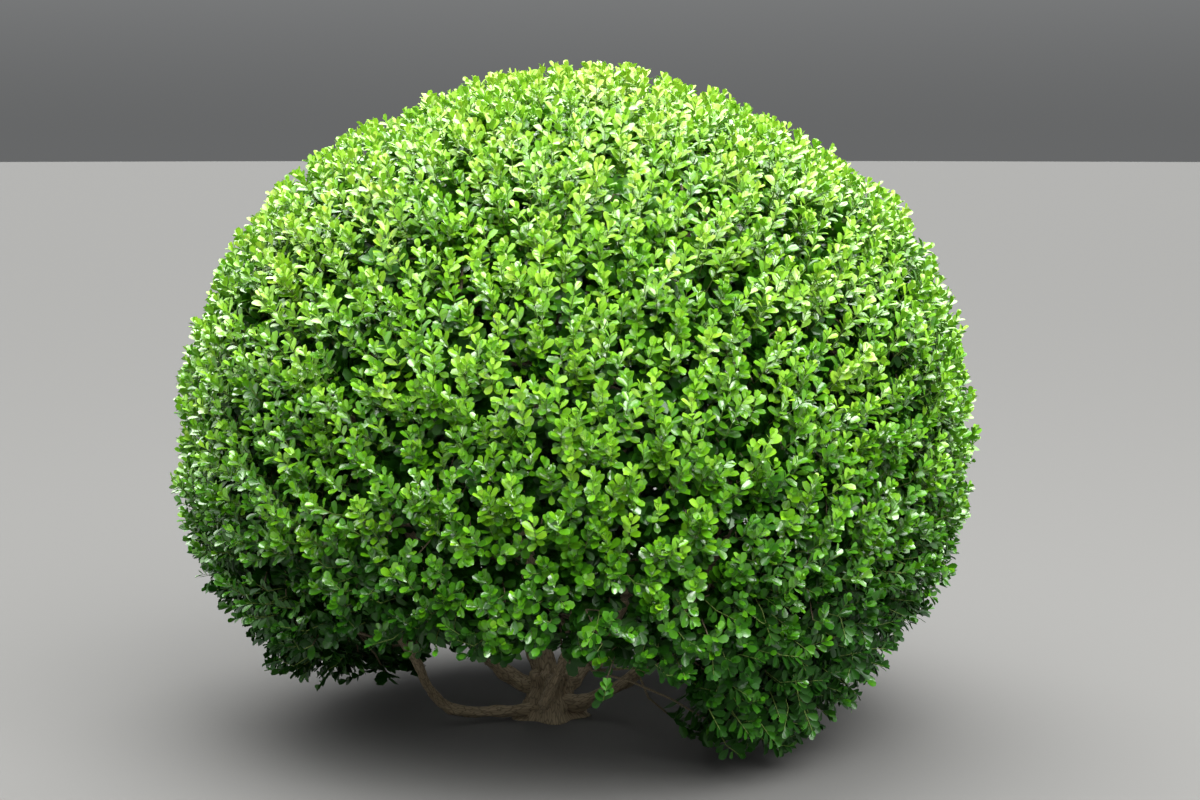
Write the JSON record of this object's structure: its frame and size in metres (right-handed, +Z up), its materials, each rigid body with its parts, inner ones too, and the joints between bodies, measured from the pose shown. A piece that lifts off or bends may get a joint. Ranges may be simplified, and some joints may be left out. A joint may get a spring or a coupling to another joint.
{
  "type": "box topiary ball",
  "caption": "Evergreen box shrub clipped to a broad ball, dense small leaves over a bare inside, on short knotted stems from one root, set in the ground.",
  "frame": {"origin": "on the ground, at the middle of the flat cut under the stool, the short trunk that the boughs leave", "axes": "+Z up out of the ground, +Y away from the viewer of the picture, +X to the viewer's right"},
  "size_m": [1.1968, 1.1602, 0.9873],
  "materials": {
    "bark": "rough grey-brown bark",
    "foliage": "satin leaves, mid green",
    "new_growth": "satin young leaves, yellow green"
  },
  "bodies": {
    "root": {"trunk": "bark", "bough_front_left": "bark", "bough_front": "bark", "bough_front_right": "bark", "bough_back_right": "bark", "bough_back": "bark", "bough_back_left": "bark", "bough_top": "bark", "foliage_front_left": "foliage", "foliage_front": "foliage", "foliage_front_right": "foliage", "foliage_back_right": "foliage", "foliage_back": "foliage", "foliage_back_left": "foliage", "foliage_top": "new_growth"}
  },
  "joints": []
}
